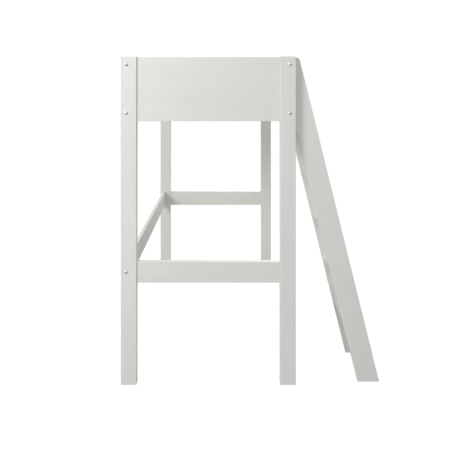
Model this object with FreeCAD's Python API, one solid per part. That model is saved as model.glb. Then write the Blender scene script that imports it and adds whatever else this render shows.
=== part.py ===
import FreeCAD, Part
import math
import os

# A white high sleeper: one sleeping level on four posts, with a slanted ladder
# that hooks onto the long side at one end. Millimetres.
#
# Frame: +Z up from the floor. +X from the wall side to the ladder side. +Y along
# the bed from the end that carries the ladder ("near") to the other end ("far").
# The origin is on the floor, midway between the wall posts' outer faces and the
# front edge of the ladder's foot in X, and midway between the two ends in Y.

V = FreeCAD.Vector

# ---- driving dimensions ------------------------------------------------------
HEIGHT = 1850.0  # floor to the tops of the posts
BED_WIDTH = 986.0  # over the posts' outer faces, X
BED_LENGTH = 2104.0  # over the posts' outer faces, Y
POST_X = 88.0
POST_Y = 52.0
END_T = 36.0  # end boards and crossbars
END_SETBACK = 8.0  # from a post's outer face to an end board's outer face
SIDE_T = 23.0  # side panels and stretcher
SIDE_SETBACK = 20.0  # from a post's outer face to a side panel's outer face
POST_ROUND = 2.0
BOARD_ROUND = 2.0

GUARD_HEIGHT = 362.0  # end boards and side panels
END_GUARD_TOP = 1846.5
SIDE_GUARD_TOP = 1849.0
BAR_HEIGHT = 118.0  # crossbars and stretcher
CROSSBAR_MID = 633.0
STRETCHER_MID = 636.0

NOTCH_START = 104.0  # entrance, from the bed's near end
NOTCH_WIDTH = 300.0
NOTCH_FLOOR = 1600.0
NOTCH_INNER_RADIUS = 35.0
NOTCH_OUTER_RADIUS = 18.0

LEDGER_LENGTH = 1850.0
LEDGER_X = 30.0
LEDGER_Z = 40.0
LEDGER_SCREW_COUNT = 7  # on each side
SLAT_TOP = 1560.0
SLAT_T = 20.0
SLAT_WIDTH = 68.0
SLAT_COUNT = 14
SLAT_PITCH = 136.0
SLAT_END_GAP = 4.0
SLAT_ROUND = 3.0

LADDER_REACH = 478.0  # from the posts' outer faces to the foot's front edge
LADDER_LEAN = 0.2465  # horizontal run for each unit of height
LADDER_TOP = 1846.0
LADDER_NOSE_RADIUS = 28.0
STRINGER_T = 24.0
STRINGER_RUN = 122.8  # the stringer's width, measured along X
NEAR_STRINGER_Y = 38.0  # from the bed's near end to the near stringer
LADDER_CLEAR_WIDTH = 342.5  # between the stringers
TREAD_COUNT = 5
TREAD_T = 24.0
FIRST_TREAD_TOP = 331.0
TREAD_PITCH = 277.0
TREAD_INSET = 6.0  # from a stringer's edges to a tread's edges
TREAD_ROUND = 4.0
HOUSING_DEPTH = 6.0

REST_BATTEN_Y = 26.0
REST_BATTEN_Z = 330.0
REST_BATTEN_RISE = 8.0  # from the entrance panel's lower edge to the batten's
REST_BATTEN_ROUND = 1.5
REST_BATTEN_SHY = 0.3  # how far the batten stays behind the posts' outer faces
REST_SCREW_SHARES = (0.12, 0.5, 0.88)  # along the batten

HOOK_T = 3.0
HOOK_GAP = 0.7  # between the hook and the panel's faces
HOOK_SEAT_GAP = 0.4  # between the notch's floor and the tongue
HOOK_FLANGE_REACH = 58.0  # in front of the posts' outer faces
HOOK_FLANGE_Z = (1556.0, 1636.0)
HOOK_FLANGE_RADIUS = 10.0
HOOK_PLATE_BOTTOM = 1572.0
HOOK_LIP_BOTTOM = 1578.0
HOOK_TONGUE_Y = (78.5, 118.5)  # from the stringer's inner face
HOOK_SCREW_X = (14.0, 44.0)  # in front of the posts' outer faces
HOOK_SCREW_INSET = 16.0  # from the flange's upper and lower edges

GLIDE_H = 2.0
GLIDE_ROUND = 0.8
POST_GLIDE_D = 24.0
POST_PIN_D = 5.0
POST_PIN_LENGTH = 18.0
LADDER_GLIDE_D = 17.0
LADDER_GLIDE_INSET = 27.5  # from each end of a stringer's foot
LADDER_PIN_D = 3.6
LADDER_PIN_LENGTH = 14.0

BOLT_D = 6.0
BOLT_HEAD_D = 20.0
BOLT_HEAD_H = 5.0
BOLT_HEAD_RIM = 1.2  # the upright edge below the dome
BOLT_SOCKET_AF = 5.0  # hexagon socket, across flats
BOLT_SOCKET_DEPTH = 3.6
BOLT_REACH = 98.0  # under the head
BOLT_HOLE_GAP = 1.0  # on the bolt's diameter
BOLT_HOLE_SPARE = 4.0  # past the bolt's end
GUARD_BOLT_OFFSET = 136.5  # above and below a side panel's middle
NUT_D = 10.0
NUT_LENGTH = 14.0
NUT_FROM_END = 36.0  # barrel nut's middle, from the end of the board it sits in
NUT_SLOT_WIDTH = 1.4
NUT_SLOT_DEPTH = 1.6
NUT_END_GAP = 0.5  # between the nut and the bottom of its hole

RAIL_DOWEL_D = 8.0
RAIL_DOWEL_IN_POST = 16.0
RAIL_DOWEL_IN_BOARD = 24.0
GUARD_DOWEL_OFFSET = 62.0  # above and below a side panel's middle
STRETCHER_DOWEL_OFFSET = 34.0
END_DOWEL_D = 10.0
END_DOWEL_HALF = 30.0  # half a dowel's length, the part on each side of the joint
END_BOARD_DOWEL_EDGE = 45.0  # from an end board's edge to its outermost dowels
CROSSBAR_DOWEL_EDGE = 30.0
TREAD_DOWEL_D = 8.0
TREAD_DOWEL_IN_STRINGER = 12.0
TREAD_DOWEL_IN_TREAD = 28.0
TREAD_DOWEL_SHARES = (0.25, 0.75)  # across the tread

# Screws: diameter, length, head diameter, head height.
LEDGER_SCREW = (4.5, 44.0, 9.0, 2.6)
SLAT_SCREW = (4.0, 34.0, 8.0, 2.2)
REST_SCREW = (4.0, 32.0, 8.0, 2.2)
HOOK_SCREW = (3.8, 20.0, 8.0, 2.2)
SCREW_TIP_D = 0.6
HOOK_SCREW_HEAD_ROUND = 1.2

REST_GAP = 0.5  # between the hung ladder and the bed
HOLE_GAP = 0.2  # on a fastener's diameter where it sits in its hole
HOLE_SPARE = 1.0  # past a screw's or pin's end
OVERLAP = 0.5  # how far shapes that are fused run into each other

# ---- derived places ----------------------------------------------------------
X_WALL = -(BED_WIDTH + LADDER_REACH) / 2
X_FACE = X_WALL + BED_WIDTH
Y_NEAR = -BED_LENGTH / 2
Y_FAR = BED_LENGTH / 2
WALL_BOARD_X = X_WALL + SIDE_SETBACK
FACE_BOARD_X = X_FACE - SIDE_SETBACK - SIDE_T
WALL_BOARD_MID = WALL_BOARD_X + SIDE_T / 2
FACE_BOARD_MID = FACE_BOARD_X + SIDE_T / 2
END_BOARD_MIDS = {"near": Y_NEAR + END_SETBACK + END_T / 2,
                  "far": Y_FAR - END_SETBACK - END_T / 2}
WALL_INNER = WALL_BOARD_X + SIDE_T
SIDE_GUARD_BOTTOM = SIDE_GUARD_TOP - GUARD_HEIGHT
GUARD_MID = SIDE_GUARD_TOP - GUARD_HEIGHT / 2
END_GUARD_MID = END_GUARD_TOP - GUARD_HEIGHT / 2
GUARD_BOLTS = (GUARD_MID + GUARD_BOLT_OFFSET, GUARD_MID - GUARD_BOLT_OFFSET)
SIDE_LENGTH = BED_LENGTH - 2 * POST_Y
LEDGER_TOP = SLAT_TOP - SLAT_T
NEAR_INNER_FACE = Y_NEAR + NEAR_STRINGER_Y + STRINGER_T
FAR_INNER_FACE = NEAR_INNER_FACE + LADDER_CLEAR_WIDTH
FOOT_FRONT = X_FACE + LADDER_REACH
NOTCH_NEAR = Y_NEAR + NOTCH_START
NOTCH_FAR = NOTCH_NEAR + NOTCH_WIDTH
REST_BATTEN_START = NOTCH_FAR + 1.0
REST_BATTEN_BOTTOM = SIDE_GUARD_BOTTOM + REST_BATTEN_RISE
REST_BATTEN_T = SIDE_SETBACK - REST_BATTEN_SHY


# ---- shape helpers -----------------------------------------------------------
def block(x, y, z, dx, dy, dz):
    """A box from its lowest corner and its three sizes."""
    return Part.makeBox(dx, dy, dz, V(x, y, z))


def rod(start, direction, diameter, length):
    """A cylinder from the middle of its first end."""
    return Part.makeCylinder(diameter / 2, length, start, direction)


def ends(edge):
    return edge.Vertexes[0].Point, edge.Vertexes[-1].Point


def is_along(edge, axis):
    """True for a straight edge that runs along one axis."""
    a, b = ends(edge)
    run = (b - a).normalize()
    return edge.Curve.TypeId == "Part::GeomLine" and abs(abs(run.dot(axis)) - 1) < 1e-6


def round_edges(shape, radius, wanted):
    """Rounds the edges for which wanted(edge) is true."""
    return shape.makeFillet(radius, [e for e in shape.Edges if wanted(e)])


def rounded_bar(x, y, z, dx, dy, dz, axis, radius):
    """A box whose four edges along the axis are rounded."""
    return round_edges(block(x, y, z, dx, dy, dz), radius, lambda e: is_along(e, axis))


def drilled(shape, holes):
    for hole in holes:
        shape = shape.cut(hole)
    return shape


def hexagon(centre, direction, across_flats, depth):
    """A hexagonal prism along +Y or -Y."""
    radius = across_flats / math.sqrt(3)
    corners = []
    for i in range(7):
        turn = math.radians(60 * i)
        corners.append(centre + V(radius * math.cos(turn), 0, radius * math.sin(turn)))
    return Part.Face(Part.makePolygon(corners)).extrude(direction * depth)


def save(name, *solids):
    """Writes one node. Several identical fasteners share a node as separate solids."""
    shape = solids[0] if len(solids) == 1 else Part.makeCompound(list(solids))
    shape.exportStep(os.path.join("parts", name + ".step"))


# ---- joints ------------------------------------------------------------------
def end_sides():
    """For each end: its name, the post's outer face, and the direction into the bed."""
    yield "near", Y_NEAR, V(0, 1, 0)
    yield "far", Y_FAR, V(0, -1, 0)


def bolt_places(board_mid_x, heights):
    """Where the bolts through the posts into one long board start: head seats and directions."""
    for _, face, inward in end_sides():
        for z in heights:
            yield V(board_mid_x, face, z), inward


ALL_BOLTS = (list(bolt_places(WALL_BOARD_MID, GUARD_BOLTS))
             + list(bolt_places(FACE_BOARD_MID, GUARD_BOLTS))
             + list(bolt_places(WALL_BOARD_MID, (STRETCHER_MID,))))


def rail_dowel_places():
    """Where a long board's dowels cross the joint with a post."""
    heights = {WALL_BOARD_MID: [GUARD_MID - GUARD_DOWEL_OFFSET, GUARD_MID + GUARD_DOWEL_OFFSET,
                                STRETCHER_MID - STRETCHER_DOWEL_OFFSET,
                                STRETCHER_MID + STRETCHER_DOWEL_OFFSET],
               FACE_BOARD_MID: [GUARD_MID - GUARD_DOWEL_OFFSET, GUARD_MID + GUARD_DOWEL_OFFSET]}
    for x, levels in heights.items():
        for _, face, inward in end_sides():
            for z in levels:
                yield V(x, face, z) + inward * POST_Y, inward


def end_dowel_places():
    """Where an end board's or crossbar's dowels cross the joint with a post."""
    guard_reach = GUARD_HEIGHT / 2 - END_BOARD_DOWEL_EDGE
    bar_reach = BAR_HEIGHT / 2 - CROSSBAR_DOWEL_EDGE
    levels = [END_GUARD_MID + guard_reach * f for f in (-1.0, -1 / 3, 1 / 3, 1.0)]
    levels += [CROSSBAR_MID - bar_reach, CROSSBAR_MID + bar_reach]
    for y in END_BOARD_MIDS.values():
        for x in (X_WALL + POST_X, X_FACE - POST_X):
            for z in levels:
                yield V(x, y, z)


def rail_dowels(gap):
    """Every dowel between a post and a long board; with a gap, their holes."""
    return [rod(joint - inward * (RAIL_DOWEL_IN_POST + gap), inward, RAIL_DOWEL_D + gap,
                RAIL_DOWEL_IN_POST + RAIL_DOWEL_IN_BOARD + 2 * gap)
            for joint, inward in rail_dowel_places()]


def end_dowels(gap):
    """Every dowel inside the two end frames; with a gap, their holes."""
    return [rod(joint - V(END_DOWEL_HALF + gap, 0, 0), V(1, 0, 0), END_DOWEL_D + gap,
                2 * (END_DOWEL_HALF + gap))
            for joint in end_dowel_places()]


def bolt_holes():
    return [rod(seat, inward, BOLT_D + BOLT_HOLE_GAP, BOLT_REACH + BOLT_HOLE_SPARE)
            for seat, inward in ALL_BOLTS]


def nut_places():
    """Barrel nuts: their middles, and the direction to the bed's inside, where they go in."""
    for seat, inward in ALL_BOLTS:
        middle = seat + inward * (POST_Y + NUT_FROM_END)
        yield middle, V(1, 0, 0) if seat.x < X_WALL + POST_X else V(-1, 0, 0)


def nut_holes():
    return [rod(middle - inside * (NUT_LENGTH / 2 + NUT_END_GAP), inside, NUT_D + 2 * HOLE_GAP, SIDE_T)
            for middle, inside in nut_places()]


def connector_bolt(seat, inward):
    """A bolt with a domed head and a hexagon socket, lying along Y."""
    head_radius = BOLT_HEAD_D / 2
    dome_height = BOLT_HEAD_H - BOLT_HEAD_RIM
    sphere_radius = (head_radius ** 2 + dome_height ** 2) / (2 * dome_height)
    sphere_centre = seat - inward * (BOLT_HEAD_H - sphere_radius)
    envelope = rod(seat, inward * -1, BOLT_HEAD_D, BOLT_HEAD_H)
    head = envelope.common(Part.makeSphere(sphere_radius, sphere_centre))
    head = head.fuse(rod(seat, inward, BOLT_D, BOLT_REACH)).removeSplitter()
    socket = hexagon(seat - inward * (BOLT_HEAD_H + OVERLAP), inward, BOLT_SOCKET_AF,
                     BOLT_SOCKET_DEPTH + OVERLAP)
    return head.cut(socket)


def barrel_nut(middle, inside, bolt_direction):
    """A cross dowel with a slot for a screwdriver in the end that shows."""
    nut = rod(middle - inside * (NUT_LENGTH / 2), inside, NUT_D, NUT_LENGTH)
    thread = rod(middle - bolt_direction * NUT_D, bolt_direction, BOLT_D + HOLE_GAP, 2 * NUT_D)
    end = middle + inside * (NUT_LENGTH / 2)
    slot = block(min(end.x, end.x - inside.x * NUT_SLOT_DEPTH), end.y - NUT_D, end.z - NUT_SLOT_WIDTH / 2,
                 NUT_SLOT_DEPTH, 2 * NUT_D, NUT_SLOT_WIDTH)
    return nut.cut(thread).cut(slot)


def wood_screw(tip_out, direction, diameter, length, head_d, head_h):
    """A countersunk screw whose flat head ends at tip_out and whose point lies along direction."""
    head = Part.makeCone(head_d / 2, diameter / 2, head_h, tip_out, direction)
    shank = rod(tip_out + direction * head_h, direction, diameter, length - head_h - diameter)
    point = Part.makeCone(diameter / 2, SCREW_TIP_D / 2, diameter,
                          tip_out + direction * (length - diameter), direction)
    return head.fuse([shank, point]).removeSplitter()


def screw_hole(tip_out, direction, diameter, length, head_d, head_h):
    """The hole that wood_screw fits, from just above its head to just past its point."""
    gap = HOLE_GAP / 2
    head = Part.makeCone(head_d / 2 + gap, diameter / 2 + gap, head_h, tip_out, direction)
    mouth = rod(tip_out - direction * OVERLAP, direction, head_d + 2 * gap, OVERLAP)
    shank = rod(tip_out, direction, diameter + 2 * gap, length + HOLE_SPARE)
    return head.fuse([mouth, shank])


# ---- end frames --------------------------------------------------------------
def glide(centre, diameter, pin_d, pin_length):
    """A nail-on plastic glide: a disc with a soft lower edge and a pin into the wood."""
    disc = round_edges(rod(centre, V(0, 0, 1), diameter, GLIDE_H), GLIDE_ROUND,
                       lambda e: abs(e.BoundBox.ZMax - centre.z) < 1e-6)
    pin = rod(centre + V(0, 0, GLIDE_H - OVERLAP), V(0, 0, 1), pin_d, pin_length + OVERLAP)
    return disc.fuse(pin).removeSplitter()


def post(x, y):
    shape = block(x, y, GLIDE_H, POST_X, POST_Y, HEIGHT - GLIDE_H)
    shape = round_edges(shape, POST_ROUND, lambda e: e.BoundBox.ZMax > GLIDE_H + 1)
    pin_hole = rod(V(x + POST_X / 2, y + POST_Y / 2, GLIDE_H), V(0, 0, 1),
                   POST_PIN_D + HOLE_GAP, POST_PIN_LENGTH + HOLE_SPARE)
    return drilled(shape, [pin_hole] + bolt_holes() + rail_dowels(HOLE_GAP) + end_dowels(HOLE_GAP))


def make_posts():
    glides = []
    for side, x in (("wall", X_WALL), ("ladder", X_FACE - POST_X)):
        for end, y in (("near", Y_NEAR), ("far", Y_FAR - POST_Y)):
            save("post_%s_%s" % (end, side), post(x, y))
            foot = V(x + POST_X / 2, y + POST_Y / 2, 0)
            glides.append(glide(foot, POST_GLIDE_D, POST_PIN_D, POST_PIN_LENGTH))
    save("post_glides", *glides)


def make_end_boards():
    """The wide boards at the top and the crossbars at mid height, between each pair of posts."""
    x = X_WALL + POST_X
    length = BED_WIDTH - 2 * POST_X
    for end, mid in END_BOARD_MIDS.items():
        y = mid - END_T / 2
        board = rounded_bar(x, y, END_GUARD_TOP - GUARD_HEIGHT, length, END_T, GUARD_HEIGHT,
                            V(1, 0, 0), BOARD_ROUND)
        bar = rounded_bar(x, y, CROSSBAR_MID - BAR_HEIGHT / 2, length, END_T, BAR_HEIGHT,
                          V(1, 0, 0), BOARD_ROUND)
        save("end_board_" + end, drilled(board, end_dowels(HOLE_GAP)))
        save("crossbar_" + end, drilled(bar, end_dowels(HOLE_GAP)))
    save("end_frame_dowels", *end_dowels(0.0))


# ---- long sides --------------------------------------------------------------
def slat_middles():
    first = -SLAT_PITCH * (SLAT_COUNT - 1) / 2
    return [first + SLAT_PITCH * i for i in range(SLAT_COUNT)]


def ledger_screw_places():
    """One screw in every second gap between slats, on each side."""
    z = LEDGER_TOP - LEDGER_Z / 2
    for i in range(LEDGER_SCREW_COUNT):
        y = SLAT_PITCH * 2 * (i - (LEDGER_SCREW_COUNT - 1) / 2)
        yield V(WALL_INNER + LEDGER_X, y, z), V(-1, 0, 0)
        yield V(FACE_BOARD_X - LEDGER_X, y, z), V(1, 0, 0)


def slat_screw_places():
    for y in slat_middles():
        for x in (WALL_INNER + LEDGER_X / 2, FACE_BOARD_X - LEDGER_X / 2):
            yield V(x, y, SLAT_TOP), V(0, 0, -1)


def ledger_screw_holes():
    return [screw_hole(tip, way, *LEDGER_SCREW) for tip, way in ledger_screw_places()]


def slat_screw_holes():
    return [screw_hole(tip, way, *SLAT_SCREW) for tip, way in slat_screw_places()]


def side_board(x, z, height):
    """A plain long board between the near and far posts."""
    return rounded_bar(x, Y_NEAR + POST_Y, z, SIDE_T, SIDE_LENGTH, height, V(0, 1, 0), BOARD_ROUND)


def side_board_holes():
    return bolt_holes() + nut_holes() + rail_dowels(HOLE_GAP)


def rest_screw_places():
    y = REST_BATTEN_START + REST_BATTEN_Y / 2
    for share in REST_SCREW_SHARES:
        z = REST_BATTEN_BOTTOM + REST_BATTEN_Z * share
        yield V(X_FACE - SIDE_SETBACK + REST_BATTEN_T, y, z), V(-1, 0, 0)


def rest_screw_holes():
    return [screw_hole(tip, way, *REST_SCREW) for tip, way in rest_screw_places()]


def entrance_panel():
    """The ladder side's panel, with the notch that one climbs in through."""
    start = Y_NEAR + POST_Y
    end = Y_FAR - POST_Y
    outline = [(start, SIDE_GUARD_BOTTOM), (end, SIDE_GUARD_BOTTOM), (end, SIDE_GUARD_TOP),
               (NOTCH_FAR, SIDE_GUARD_TOP), (NOTCH_FAR, NOTCH_FLOOR), (NOTCH_NEAR, NOTCH_FLOOR),
               (NOTCH_NEAR, SIDE_GUARD_TOP), (start, SIDE_GUARD_TOP), (start, SIDE_GUARD_BOTTOM)]
    wire = Part.makePolygon([V(FACE_BOARD_X, y, z) for y, z in outline])
    panel = Part.Face(wire).extrude(V(SIDE_T, 0, 0))

    def notch_corner(z):
        def wanted(edge):
            y = edge.BoundBox.Center.y
            in_notch = NOTCH_NEAR - 1 < y < NOTCH_FAR + 1
            return is_along(edge, V(1, 0, 0)) and in_notch and abs(edge.BoundBox.Center.z - z) < 1
        return wanted

    panel = round_edges(panel, NOTCH_INNER_RADIUS, notch_corner(NOTCH_FLOOR))
    panel = round_edges(panel, NOTCH_OUTER_RADIUS, notch_corner(SIDE_GUARD_TOP))

    def outer_edge(edge):
        box = edge.BoundBox
        at_post = box.YMax < start + 1 or box.YMin > end - 1
        return box.XLength < 1e-6 and not at_post

    return round_edges(panel, BOARD_ROUND, outer_edge)


def make_side_panels():
    wall = side_board(WALL_BOARD_X, SIDE_GUARD_BOTTOM, GUARD_HEIGHT)
    save("side_panel_wall", drilled(wall, side_board_holes() + ledger_screw_holes()))
    holes = side_board_holes() + ledger_screw_holes() + rest_screw_holes()
    save("side_panel_entrance", drilled(entrance_panel(), holes))
    rail = side_board(WALL_BOARD_X, STRETCHER_MID - BAR_HEIGHT / 2, BAR_HEIGHT)
    save("stretcher_wall", drilled(rail, side_board_holes()))


def make_side_fasteners():
    save("connector_bolts", *[connector_bolt(seat, inward) for seat, inward in ALL_BOLTS])
    nuts = [barrel_nut(middle, inside, inward)
            for (middle, inside), (_, inward) in zip(nut_places(), ALL_BOLTS)]
    save("barrel_nuts", *nuts)
    save("rail_dowels", *rail_dowels(0.0))


def make_ladder_rest():
    """A batten on the entrance panel that brings the far stringer's seat level with the post."""
    batten = rounded_bar(X_FACE - SIDE_SETBACK, REST_BATTEN_START, REST_BATTEN_BOTTOM,
                         REST_BATTEN_T, REST_BATTEN_Y, REST_BATTEN_Z, V(0, 0, 1), REST_BATTEN_ROUND)
    save("ladder_rest_batten", drilled(batten, rest_screw_holes()))
    save("rest_batten_screws", *[wood_screw(tip, way, *REST_SCREW) for tip, way in rest_screw_places()])


# ---- slatted base ------------------------------------------------------------
def make_slatted_base():
    holes = ledger_screw_holes() + slat_screw_holes()
    for side, x in (("wall", WALL_INNER), ("entrance", FACE_BOARD_X - LEDGER_X)):
        ledger = block(x, -LEDGER_LENGTH / 2, LEDGER_TOP - LEDGER_Z, LEDGER_X, LEDGER_LENGTH, LEDGER_Z)
        save("ledger_" + side, drilled(ledger, holes))
    save("ledger_screws", *[wood_screw(tip, way, *LEDGER_SCREW) for tip, way in ledger_screw_places()])
    x = WALL_INNER + SLAT_END_GAP
    length = FACE_BOARD_X - WALL_INNER - 2 * SLAT_END_GAP
    for i, y in enumerate(slat_middles()):
        slat = rounded_bar(x, y - SLAT_WIDTH / 2, LEDGER_TOP, length, SLAT_WIDTH, SLAT_T,
                           V(1, 0, 0), SLAT_ROUND)
        save("slat_%02d" % (i + 1), drilled(slat, slat_screw_holes()))
    save("slat_screws", *[wood_screw(tip, way, *SLAT_SCREW) for tip, way in slat_screw_places()])


# ---- ladder ------------------------------------------------------------------
def front_x(z):
    """The stringers' front edge at a height."""
    return FOOT_FRONT - LADDER_LEAN * (z - GLIDE_H)


def tread_levels():
    return [FIRST_TREAD_TOP + TREAD_PITCH * i for i in range(TREAD_COUNT)]


def tread_span(top):
    """A tread's rear and front edges, inset from the stringers' sloping edges."""
    rear = front_x(top - TREAD_T) - STRINGER_RUN + TREAD_INSET
    return rear, front_x(top) - TREAD_INSET


def tread_dowels(gap):
    """The dowels between treads and stringers; with a gap, their holes."""
    dowels = []
    for top in tread_levels():
        rear, front = tread_span(top)
        for share in TREAD_DOWEL_SHARES:
            x = rear + (front - rear) * share
            for face, out in ((NEAR_INNER_FACE, V(0, -1, 0)), (FAR_INNER_FACE, V(0, 1, 0))):
                seat = V(x, face, top - TREAD_T / 2) + out * HOUSING_DEPTH
                start = seat - out * (TREAD_DOWEL_IN_TREAD + gap)
                length = TREAD_DOWEL_IN_TREAD + TREAD_DOWEL_IN_STRINGER + 2 * gap
                dowels.append(rod(start, out, TREAD_DOWEL_D + gap, length))
    return dowels


def foot_glide_places(y):
    rear = FOOT_FRONT - STRINGER_RUN
    for x in (rear + LADDER_GLIDE_INSET, FOOT_FRONT - LADDER_GLIDE_INSET):
        yield V(x, y + STRINGER_T / 2, 0)


def stringer(y):
    """A plank that slopes up from the floor and stands upright against the bed at its top."""
    back = X_FACE + REST_GAP
    bend = GLIDE_H + (FOOT_FRONT - STRINGER_RUN - back) / LADDER_LEAN
    outline = [V(FOOT_FRONT - STRINGER_RUN, y, GLIDE_H), V(FOOT_FRONT, y, GLIDE_H),
               V(front_x(LADDER_TOP), y, LADDER_TOP), V(back, y, LADDER_TOP),
               V(back, y, bend), V(FOOT_FRONT - STRINGER_RUN, y, GLIDE_H)]
    plank = Part.Face(Part.makePolygon(outline)).extrude(V(0, STRINGER_T, 0))

    def nose(edge):
        centre = edge.BoundBox.Center
        at_top = abs(centre.z - LADDER_TOP) < 1
        return is_along(edge, V(0, 1, 0)) and at_top and centre.x > back + 5

    plank = round_edges(plank, LADDER_NOSE_RADIUS, nose)

    def outline_edge(edge):
        return edge.BoundBox.YLength < 1e-6 and edge.BoundBox.ZMax > GLIDE_H + 1

    plank = round_edges(plank, BOARD_ROUND, outline_edge)
    pins = [rod(foot + V(0, 0, GLIDE_H), V(0, 0, 1), LADDER_PIN_D + HOLE_GAP,
                LADDER_PIN_LENGTH + HOLE_SPARE)
            for foot in foot_glide_places(y)]
    return drilled(plank, pins)


def housings():
    """The shallow grooves that the treads' ends sit in, as one long block for each tread."""
    gap = HOLE_GAP / 2
    blocks = []
    for top in tread_levels():
        rear, front = tread_span(top)
        y = NEAR_INNER_FACE - HOUSING_DEPTH - gap
        blocks.append(block(rear - gap, y, top - TREAD_T - gap, front - rear + 2 * gap,
                            LADDER_CLEAR_WIDTH + 2 * (HOUSING_DEPTH + gap), TREAD_T + 2 * gap))
    return blocks


def make_ladder():
    stringers = (("near", NEAR_INNER_FACE - STRINGER_T), ("far", FAR_INNER_FACE))
    glides = []
    for name, y in stringers:
        plank = drilled(stringer(y), housings() + tread_dowels(HOLE_GAP) + hook_screw_holes())
        save("ladder_stringer_" + name, plank)
        for foot in foot_glide_places(y):
            glides.append(glide(foot, LADDER_GLIDE_D, LADDER_PIN_D, LADDER_PIN_LENGTH))
    save("ladder_glides", *glides)
    for i, top in enumerate(tread_levels()):
        rear, front = tread_span(top)
        tread = rounded_bar(rear, NEAR_INNER_FACE - HOUSING_DEPTH, top - TREAD_T, front - rear,
                            LADDER_CLEAR_WIDTH + 2 * HOUSING_DEPTH, TREAD_T, V(0, 1, 0), TREAD_ROUND)
        save("ladder_tread_%d" % (i + 1), drilled(tread, tread_dowels(HOLE_GAP)))
    save("tread_dowels", *tread_dowels(0.0))


# ---- ladder hooks ------------------------------------------------------------
def hook_sides():
    """Each hook: its name, the stringer's inner face, and the direction to the ladder's middle."""
    yield "near", NEAR_INNER_FACE, 1
    yield "far", FAR_INNER_FACE, -1


def across(face, way, start, end):
    """A lowest Y and a length, from two distances off a stringer's inner face."""
    a, b = face + way * start, face + way * end
    return min(a, b), abs(b - a)


def hook_screw_places():
    for _, face, way in hook_sides():
        for x in HOOK_SCREW_X:
            for z in (HOOK_FLANGE_Z[0] + HOOK_SCREW_INSET, HOOK_FLANGE_Z[1] - HOOK_SCREW_INSET):
                yield V(X_FACE + x, face + way * HOOK_T, z), V(0, -way, 0)


def hook_screw_holes():
    diameter, length = HOOK_SCREW[:2]
    return [rod(seat, way, diameter + HOLE_GAP, length + HOLE_SPARE) for seat, way in hook_screw_places()]


def hook_screw(seat, way):
    """A pan-head screw through the hook's flange."""
    diameter, length, head_d, head_h = HOOK_SCREW
    head = round_edges(rod(seat - way * head_h, way, head_d, head_h), HOOK_SCREW_HEAD_ROUND,
                       lambda e: abs(e.BoundBox.Center.y - (seat - way * head_h).y) < 1e-6)
    return head.fuse(rod(seat, way, diameter, length)).removeSplitter()


def hook(face, way):
    """A bent steel plate: screwed to the stringer, behind it, and over the notch's lower edge."""
    back = X_FACE - SIDE_SETBACK + HOOK_GAP
    inner = FACE_BOARD_X - HOOK_GAP - HOOK_T
    tongue_z = NOTCH_FLOOR + HOOK_SEAT_GAP
    y, dy = across(face, way, 0, HOOK_T)
    flange = block(back, y, HOOK_FLANGE_Z[0], X_FACE + HOOK_FLANGE_REACH - back, dy,
                   HOOK_FLANGE_Z[1] - HOOK_FLANGE_Z[0])
    flange = round_edges(flange, HOOK_FLANGE_RADIUS,
                         lambda e: is_along(e, V(0, 1, 0)) and e.BoundBox.XMin > X_FACE)
    y, dy = across(face, way, 0, HOOK_TONGUE_Y[1])
    plate = block(back, y, HOOK_PLATE_BOTTOM, HOOK_T, dy, tongue_z + HOOK_T - HOOK_PLATE_BOTTOM)
    y, dy = across(face, way, *HOOK_TONGUE_Y)
    tongue = block(inner, y, tongue_z, back + HOOK_T - inner, dy, HOOK_T)
    lip = block(inner, y, HOOK_LIP_BOTTOM, HOOK_T, dy, tongue_z + HOOK_T - HOOK_LIP_BOTTOM)
    return flange.fuse([plate, tongue, lip]).removeSplitter()


def make_hooks():
    for name, face, way in hook_sides():
        save("ladder_hook_" + name, drilled(hook(face, way), hook_screw_holes()))
    save("hook_screws", *[hook_screw(seat, way) for seat, way in hook_screw_places()])


os.makedirs("parts", exist_ok=True)
make_posts()
make_end_boards()
make_side_panels()
make_side_fasteners()
make_ladder_rest()
make_slatted_base()
make_ladder()
make_hooks()
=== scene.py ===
import math

import bpy
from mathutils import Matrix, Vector


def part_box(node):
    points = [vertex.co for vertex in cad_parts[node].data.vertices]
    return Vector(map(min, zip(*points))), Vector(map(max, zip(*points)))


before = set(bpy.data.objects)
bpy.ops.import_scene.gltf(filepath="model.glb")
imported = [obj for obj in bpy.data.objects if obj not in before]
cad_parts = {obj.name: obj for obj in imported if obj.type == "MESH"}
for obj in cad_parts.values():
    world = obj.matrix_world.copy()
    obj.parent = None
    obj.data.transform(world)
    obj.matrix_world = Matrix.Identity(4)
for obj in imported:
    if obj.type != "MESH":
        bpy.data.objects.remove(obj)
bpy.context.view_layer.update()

# A white lacquered high sleeper with a slanted hook-on ladder. The CAD nodes are the
# object; this script gives them their finishes and sets up the studio around them.

SCENE = bpy.context.scene
WHITE = (1.0, 1.0, 1.0)
BLACK = (0.0, 0.0, 0.0)


def opaque(colour):
    return (*colour, 1.0)


def grey(value):
    return opaque((value, value, value))


# ---- camera ------------------------------------------------------------------
# Level and square to the end that carries the ladder, as high as the guard boards
# and a little to the ladder's side of the bed's middle.
CAMERA_DISTANCE = 3.491  # from the near posts' outer faces
CAMERA_SIDESTEP = 0.114  # from the bed's middle, towards the ladder
CAMERA_HEIGHT = 1.7604
CAMERA_SENSOR = 36.0  # mm
CAMERA_LENS = 48.89  # mm
CAMERA_SHIFT_Y = -0.3418


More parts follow.
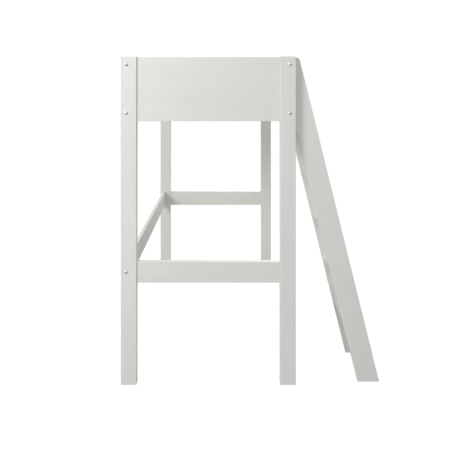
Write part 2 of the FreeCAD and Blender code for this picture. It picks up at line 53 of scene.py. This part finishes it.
def make_camera():
    wall_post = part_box("post_near_wall")
    ladder_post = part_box("post_near_ladder")
    bed_middle = (wall_post[0].x + ladder_post[1].x) / 2
    data = bpy.data.cameras.new("camera")
    camera = bpy.data.objects.new("camera", data)
    SCENE.collection.objects.link(camera)
    camera.location = (bed_middle + CAMERA_SIDESTEP, wall_post[0].y - CAMERA_DISTANCE, CAMERA_HEIGHT)
    camera.rotation_euler = (math.radians(90), 0, 0)
    data.sensor_width = CAMERA_SENSOR
    data.lens = CAMERA_LENS
    data.shift_y = CAMERA_SHIFT_Y
    SCENE.camera = camera


# ---- node trees --------------------------------------------------------------
MIX_FIRST, MIX_SECOND, MIX_RESULT = 6, 7, 2  # a Mix node's colour sockets


def put(tree, socket, value):
    """Set an input socket, or link it to another socket or to a node's first output."""
    if isinstance(value, bpy.types.Node):
        value = value.outputs[0]
    if isinstance(value, bpy.types.NodeSocket):
        tree.links.new(value, socket)
    else:
        socket.default_value = value


def add_node(tree, kind, inputs=None, **settings):
    node = tree.nodes.new(kind)
    for name, value in settings.items():
        setattr(node, name, value)
    for name, value in (inputs or {}).items():
        put(tree, node.inputs[name], value)
    return node


def emptied_tree(owner):
    owner.use_nodes = True
    owner.node_tree.nodes.clear()
    return owner.node_tree


def camera_sees(tree, other, seen):
    """The shader seen for the camera's own rays, and the other one for every other ray."""
    camera_ray = add_node(tree, "ShaderNodeLightPath").outputs["Is Camera Ray"]
    return add_node(tree, "ShaderNodeMixShader", {0: camera_ray, 1: other, 2: seen})


# ---- studio ------------------------------------------------------------------
STUDIO_FOCUS = Vector((-0.1, -1.0, 1.1))  # the lights aim here, at the middle of the near end
WORLD_LIGHT = 0.505
BACKDROP_LIGHT = 0.15  # added behind the far end, as from a lit white backdrop
BACKDROP_START = 0.3  # share of a direction that points backwards where that light begins
BACKDROP_FULL = 0.9  # and where it is full
BACKDROP_WHITE = 1.03
FLOOR_HALF = 40.0
FLOOR_BOUNCE = 0.46
FLOOR_GLOW = 0.035
FLOOR_PAPER = 0.24  # the floor looks like lit white paper near the bed
FLOOR_PAPER_GLOW = 0.86
FLOOR_FADE_START = 1.5  # from the origin; here the paper starts to run into the backdrop
FLOOR_FADE_END = 4.5


def softbox(name, azimuth, elevation, distance, size, power):
    """A square softbox aimed at the near end; azimuth 0 is on the camera's side, negative to its left."""
    turn, rise = math.radians(azimuth), math.radians(elevation)
    towards = Vector((math.sin(turn) * math.cos(rise), -math.cos(turn) * math.cos(rise), math.sin(rise)))
    data = bpy.data.lights.new(name, "AREA")
    data.shape = "SQUARE"
    data.size = size
    data.energy = power
    light = bpy.data.objects.new(name, data)
    light.location = STUDIO_FOCUS + towards * distance
    light.rotation_euler = (-towards).to_track_quat("-Z", "Y").to_euler()
    SCENE.collection.objects.link(light)


def make_lights():
    """A soft key from the left front, and weaker boxes at the left side, on the right and behind."""
    softbox("key", azimuth=-50, elevation=28, distance=4.3, size=1.6, power=103.0)
    softbox("side", azimuth=-90, elevation=30, distance=6.0, size=2.6, power=47.0)
    softbox("right", azimuth=60, elevation=45, distance=6.0, size=2.6, power=51.0)
    softbox("rear", azimuth=170, elevation=25, distance=6.0, size=3.0, power=100.0)


def make_world():
    """Even light from all round, more of it from behind, with a pure white backdrop for the camera."""
    SCENE.world = bpy.data.worlds.new("studio")
    tree = emptied_tree(SCENE.world)
    direction = add_node(tree, "ShaderNodeTexCoord").outputs["Generated"]
    backwards = add_node(tree, "ShaderNodeSeparateXYZ", {0: direction}).outputs["Y"]
    strength = add_node(tree, "ShaderNodeMapRange", {
        "Value": backwards, "From Min": BACKDROP_START, "From Max": BACKDROP_FULL,
        "To Min": WORLD_LIGHT, "To Max": WORLD_LIGHT + BACKDROP_LIGHT}, interpolation_type="SMOOTHSTEP")
    light = add_node(tree, "ShaderNodeBackground", {"Color": opaque(WHITE), "Strength": strength})
    seen = add_node(tree, "ShaderNodeBackground", {"Color": opaque(WHITE), "Strength": BACKDROP_WHITE})
    add_node(tree, "ShaderNodeOutputWorld", {"Surface": camera_sees(tree, light, seen)})


def make_floor_material():
    """White paper that runs into the backdrop for the camera, and a duller, faintly glowing floor for the bed."""
    material = bpy.data.materials.new("floor")
    tree = emptied_tree(material)
    place = add_node(tree, "ShaderNodeTexCoord").outputs["Object"]
    reach = add_node(tree, "ShaderNodeVectorMath", {0: place}, operation="LENGTH").outputs["Value"]
    fade = add_node(tree, "ShaderNodeMapRange", {
        "Value": reach, "From Min": FLOOR_FADE_START, "From Max": FLOOR_FADE_END}, interpolation_type="SMOOTHSTEP")
    paper = add_node(tree, "ShaderNodeBsdfDiffuse", {"Color": grey(FLOOR_PAPER)})
    haze = add_node(tree, "ShaderNodeEmission", {"Strength": FLOOR_PAPER_GLOW})
    near_bed = add_node(tree, "ShaderNodeAddShader", {0: paper, 1: haze})
    sweep = add_node(tree, "ShaderNodeEmission", {"Strength": BACKDROP_WHITE})
    seen = add_node(tree, "ShaderNodeMixShader", {0: fade, 1: near_bed, 2: sweep})
    bounce = add_node(tree, "ShaderNodeBsdfDiffuse", {"Color": grey(FLOOR_BOUNCE)})
    glow = add_node(tree, "ShaderNodeEmission", {"Strength": FLOOR_GLOW})
    lighting = add_node(tree, "ShaderNodeAddShader", {0: bounce, 1: glow})
    add_node(tree, "ShaderNodeOutputMaterial", {"Surface": camera_sees(tree, lighting, seen)})
    return material


def make_floor():
    mesh = bpy.data.meshes.new("floor")
    corners = [(x * FLOOR_HALF, y * FLOOR_HALF, 0) for x, y in ((-1, -1), (1, -1), (1, 1), (-1, 1))]
    mesh.from_pydata(corners, [], [(0, 1, 2, 3)])
    mesh.materials.append(make_floor_material())
    floor = bpy.data.objects.new("floor", mesh)
    SCENE.collection.objects.link(floor)


# ---- materials ---------------------------------------------------------------
PIECE_SHIFT = (7.3, 4.1, 5.9)  # how far apart, in metres, the pieces lie in a texture


class Shader:
    """A node material under construction. Its textures' scales are per metre, and depths are in metres."""

    def __init__(self, name):
        self.material = bpy.data.materials.new(name)
        self.material.use_nodes = True
        self.tree = self.material.node_tree

    def add(self, kind, inputs=None, **settings):
        return add_node(self.tree, kind, inputs, **settings)

    def finish(self, **inputs):
        surface = self.tree.nodes["Principled BSDF"]
        for name, value in inputs.items():
            put(self.tree, surface.inputs[name.replace("_", " ")], value)
        return self.material

    def coordinates(self, scale=(1, 1, 1), lean=0.0):
        """Object coordinates, shifted by a different amount for each piece, then turned and stretched."""
        place = self.add("ShaderNodeTexCoord").outputs["Object"]
        piece = self.add("ShaderNodeObjectInfo").outputs["Random"]
        shift = self.add("ShaderNodeVectorMath", {0: PIECE_SHIFT, "Scale": piece}, operation="SCALE")
        moved = self.add("ShaderNodeVectorMath", {0: place, 1: shift}, operation="ADD")
        return self.add("ShaderNodeMapping", {"Vector": moved, "Rotation": (0, lean, 0), "Scale": scale})

    def noise(self, where, scale=1.0, detail=2.0, roughness=0.5):
        return self.add("ShaderNodeTexNoise", {"Vector": where, "Scale": scale, "Detail": detail,
                                               "Roughness": roughness}).outputs["Fac"]

    def ramp(self, factor, *stops):
        """Colours at positions along a factor, the first and last of which also hold beyond them."""
        node = self.add("ShaderNodeValToRGB", {"Fac": factor})
        elements = node.color_ramp.elements
        while len(elements) < len(stops):
            elements.new(0.5)
        for element, (position, colour) in zip(elements, stops):
            element.position = position
            element.color = opaque(colour)
        return node.outputs["Color"]

    def mixed(self, first, second, factor, blend="MIX"):
        inputs = {"Factor": factor, MIX_FIRST: first, MIX_SECOND: second}
        return self.add("ShaderNodeMix", inputs, data_type="RGBA", blend_type=blend).outputs[MIX_RESULT]

    def spread(self, factor, low, high):
        return self.add("ShaderNodeMapRange", {"Value": factor, "To Min": low, "To Max": high})

    def bump(self, height, depth, strength, under=None):
        inputs = {"Height": height, "Distance": depth, "Strength": strength}
        if under is not None:
            inputs["Normal"] = under
        return self.add("ShaderNodeBump", inputs)


def stretched(axis, along, across):
    return tuple(along if i == axis else across for i in range(3))


PAINT_LIGHT = (0.806, 0.812, 0.771)
PAINT_SHADE = (0.772, 0.779, 0.736)
PAINT_STREAK = (0.988, 0.988, 0.988)  # darkens the lacquer where the grain shows through


def lacquer(name, axis, lean=0.0):
    """White satin lacquer over planed wood whose grain runs along one axis and shows through a little."""
    s = Shader(name)
    grain = s.noise(s.coordinates(stretched(axis, along=3.0, across=150.0), lean), detail=5.0, roughness=0.6)
    cloud = s.noise(s.coordinates(stretched(axis, along=1.2, across=9.0), lean), detail=3.0)
    peel = s.noise(s.coordinates(), scale=650.0, detail=1.0)
    brush = s.noise(s.coordinates(stretched(axis, along=14.0, across=900.0), lean))
    streak = s.noise(s.coordinates(stretched(axis, along=1.6, across=85.0), lean), detail=4.0, roughness=0.62)
    paint = s.ramp(cloud, (0.3, PAINT_SHADE), (0.7, PAINT_LIGHT))
    streaks = s.ramp(streak, (0.34, PAINT_STREAK), (0.52, WHITE))
    normal = s.bump(peel, depth=0.00004, strength=0.5)
    normal = s.bump(grain, depth=0.00030, strength=0.7, under=normal)
    return s.finish(Base_Color=s.mixed(paint, streaks, 1.0, "MULTIPLY"), Roughness=s.spread(brush, 0.36, 0.50),
                    Normal=normal, Coat_Weight=0.12, Coat_Roughness=0.3)


PINE_EARLY = (0.78, 0.65, 0.45)
PINE_MID = (0.72, 0.565, 0.36)
PINE_LATE = (0.57, 0.405, 0.235)
PINE_KNOT = (0.25, 0.12, 0.05)
PINE_FIBRE = (0.80, 0.77, 0.72)
PINE_SWAY = (0.9, 0.9, 0.9)  # how strongly the rings wander


def pine(name, axis):
    """Bare planed pine: growth rings seen from the flat, fine fibres and a few small knots."""
    s = Shader(name)
    board = s.coordinates(stretched(axis, along=0.55, across=9.0))
    sway = s.noise(board, scale=1.4, detail=3.0)
    swayed = s.add("ShaderNodeVectorMath", {0: board, 1: PINE_SWAY, 2: board}, operation="MULTIPLY_ADD")
    rings = s.add("ShaderNodeTexWave", {"Vector": swayed, "Scale": 1.5, "Distortion": 5.0, "Detail": 2.0,
                                        "Detail Scale": 0.8, "Phase Offset": sway},
                  wave_type="BANDS", bands_direction="DIAGONAL", wave_profile="SAW").outputs["Fac"]
    wood = s.ramp(rings, (0.0, PINE_EARLY), (0.55, PINE_MID), (0.93, PINE_LATE), (1.0, PINE_EARLY))
    fibre = s.noise(s.coordinates(stretched(axis, along=6.0, across=420.0)), detail=4.0, roughness=0.65)
    fibres = s.ramp(fibre, (0.30, PINE_FIBRE), (0.62, WHITE))
    streaked = s.mixed(wood, fibres, 1.0, "MULTIPLY")
    knots = s.add("ShaderNodeTexVoronoi", {"Vector": s.coordinates(stretched(axis, along=2.0, across=7.0)),
                                           "Scale": 1.0, "Randomness": 1.0}).outputs["Distance"]
    knot_edge = s.ramp(knots, (0.045, WHITE), (0.085, BLACK))
    normal = s.bump(fibre, depth=0.00015, strength=0.7)
    normal = s.bump(rings, depth=0.00010, strength=0.4, under=normal)
    return s.finish(Base_Color=s.mixed(streaked, opaque(PINE_KNOT), knot_edge),
                    Roughness=s.spread(fibre, 0.62, 0.48), Normal=normal)


def dowel_beech():
    """Short-grained beech with darker flecks."""
    s = Shader("beech_dowel")
    fleck = s.noise(s.coordinates((300, 300, 300)), detail=3.0)
    return s.finish(Base_Color=s.ramp(fleck, (0.35, (0.52, 0.34, 0.21)), (0.65, (0.70, 0.50, 0.34))),
                    Roughness=s.spread(fleck, 0.5, 0.65), Normal=s.bump(fleck, depth=0.0001, strength=0.5))


def zinc_plate():
    """Bright zinc plate, slightly cloudy, with fine tool marks."""
    s = Shader("zinc_plate")
    cloud = s.noise(s.coordinates(), scale=320.0, detail=3.0)
    marks = s.noise(s.coordinates(), scale=2600.0)
    return s.finish(Base_Color=s.ramp(cloud, (0.35, (0.56, 0.57, 0.58)), (0.65, (0.68, 0.69, 0.69))),
                    Metallic=1.0, Roughness=s.spread(cloud, 0.26, 0.42),
                    Normal=s.bump(marks, depth=0.00003, strength=0.5))


def nickel_bolt():
    """Satin nickel on the bolt heads, slightly cloudy."""
    s = Shader("nickel_bolt")
    cloud = s.noise(s.coordinates(), scale=420.0, detail=3.0)
    marks = s.noise(s.coordinates(), scale=2400.0)
    return s.finish(Base_Color=s.ramp(cloud, (0.35, (0.66, 0.655, 0.63)), (0.65, (0.74, 0.735, 0.71))),
                    Metallic=1.0, Roughness=s.spread(cloud, 0.46, 0.56),
                    Normal=s.bump(marks, depth=0.00002, strength=0.4))


def powder_coat():
    """White powder coat with its fine leathery texture."""
    s = Shader("powder_coat")
    leather = s.noise(s.coordinates(), scale=1100.0)
    cloud = s.noise(s.coordinates(), scale=60.0)
    return s.finish(Base_Color=s.ramp(cloud, (0.3, (0.74, 0.745, 0.72)), (0.7, (0.78, 0.785, 0.76))),
                    Roughness=s.spread(leather, 0.42, 0.58), Normal=s.bump(leather, depth=0.00008, strength=0.7))


def glide_plastic():
    """Dark moulded plastic, a little scuffed."""
    s = Shader("glide_plastic")
    matt = s.noise(s.coordinates(), scale=1500.0)
    scuff = s.noise(s.coordinates(), scale=180.0, detail=4.0)
    return s.finish(Base_Color=s.ramp(scuff, (0.35, (0.075, 0.075, 0.07)), (0.65, (0.12, 0.12, 0.115))),
                    Roughness=s.spread(scuff, 0.45, 0.62), Normal=s.bump(matt, depth=0.00004, strength=0.6))


# ---- finishes ----------------------------------------------------------------
LADDER_LEAN = math.atan(0.2465)  # the stringers' run over their rise

# The first row whose word is in a node's name gives its finish.
NODE_FINISHES = (
    ("screws", "zinc"),
    ("nuts", "zinc"),
    ("bolts", "bolt"),
    ("dowels", "beech"),
    ("glides", "glide"),
    ("hook", "powder"),
    ("stringer", "lacquer_slant"),
    ("tread", "lacquer_y"),
    ("side_panel", "lacquer_y"),
    ("stretcher", "lacquer_y"),
    ("end_board", "lacquer_x"),
    ("crossbar", "lacquer_x"),
    ("ledger", "pine_y"),
    ("slat", "pine_x"),
    ("post", "lacquer_z"),
    ("rest_batten", "lacquer_z"),
)


def finish_nodes():
    made = {
        "lacquer_x": lacquer("lacquer_along_x", 0),
        "lacquer_y": lacquer("lacquer_along_y", 1),
        "lacquer_z": lacquer("lacquer_along_z", 2),
        "lacquer_slant": lacquer("lacquer_along_stringer", 2, LADDER_LEAN),
        "pine_x": pine("pine_along_x", 0),
        "pine_y": pine("pine_along_y", 1),
        "beech": dowel_beech(),
        "zinc": zinc_plate(),
        "bolt": nickel_bolt(),
        "powder": powder_coat(),
        "glide": glide_plastic(),
    }
    for name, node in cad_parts.items():
        finish = next(finish for word, finish in NODE_FINISHES if word in name)
        for slot in node.material_slots:
            slot.material = made[finish]


make_camera()
make_world()
make_lights()
make_floor()
finish_nodes()
SCENE.view_settings.view_transform = "Standard"
